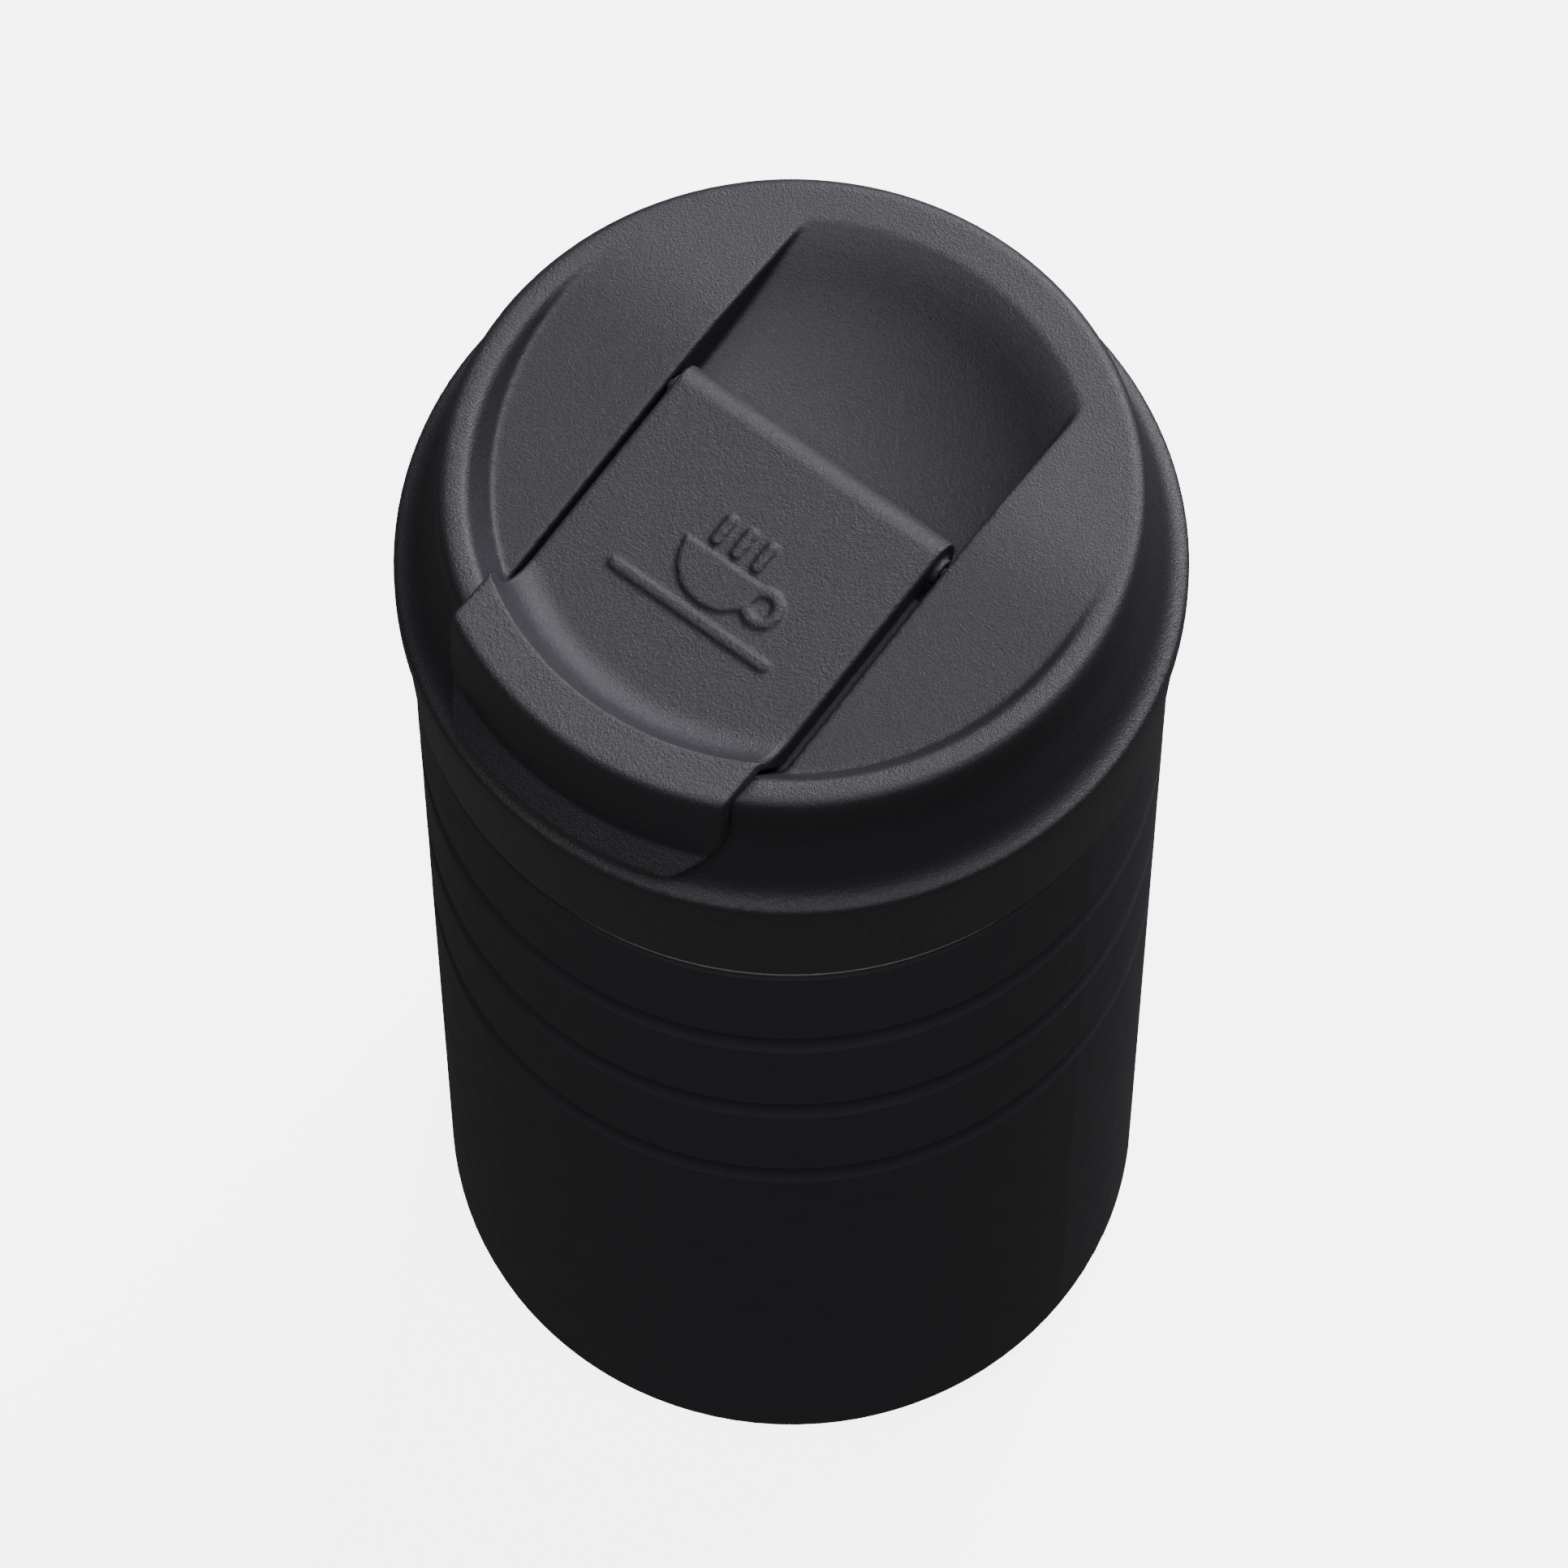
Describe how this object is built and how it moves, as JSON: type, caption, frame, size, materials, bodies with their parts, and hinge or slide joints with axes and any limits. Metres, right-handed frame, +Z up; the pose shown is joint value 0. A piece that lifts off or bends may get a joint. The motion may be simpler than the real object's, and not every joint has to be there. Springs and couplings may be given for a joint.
{
  "type": "insulated travel mug",
  "caption": "Double-walled steel travel mug with a push-fit lid and a flip-open drinking flap over the rim.",
  "frame": {"origin": "centre of the base, on the surface the mug stands on", "axes": "+Z up along the mug's axis, -Y towards the drinking edge, +X to the drinker's left"},
  "size_m": [0.085, 0.085, 0.1675],
  "materials": {
    "brushed_interior": "brushed stainless steel",
    "black_coat": "fine powder coat, satin",
    "bare_steel": "plain stainless steel",
    "black_plastic": "fine textured polypropylene",
    "grain_plastic": "leather-grain moulded polypropylene",
    "black_silicone": "silicone, satin",
    "grey_getter": "sintered metal"
  },
  "bodies": {
    "mug": {"outer_shell": "black_coat", "inner_vessel": "brushed_interior", "base_plate": "bare_steel", "evacuation_seal": "bare_steel", "base_pad": "black_silicone", "vacuum_getter": "grey_getter"},
    "lid": {"lid_cap": "black_plastic", "lid_collar": "black_plastic", "lid_plug": "black_plastic", "spout_tube": "black_plastic", "vent_tube": "black_plastic", "plug_gasket": "black_silicone", "port_gasket": "black_silicone", "vent_gasket": "black_silicone", "hinge_pin": "bare_steel"},
    "flap": {"flip_cap": "grain_plastic", "port_stopper": "black_silicone", "vent_stopper": "black_silicone"}
  },
  "joints": [
    {"name": "lid_lift", "type": "slide", "parent": "mug", "child": "lid", "axis": [0, 0, 1], "range_m": [0, 0.08]},
    {"name": "flap_open", "type": "hinge", "parent": "lid", "child": "flap", "pos_m": [0, 0.00274, 0.16284], "axis": [-1, 0, 0], "range_deg": [0, 165]}
  ]
}
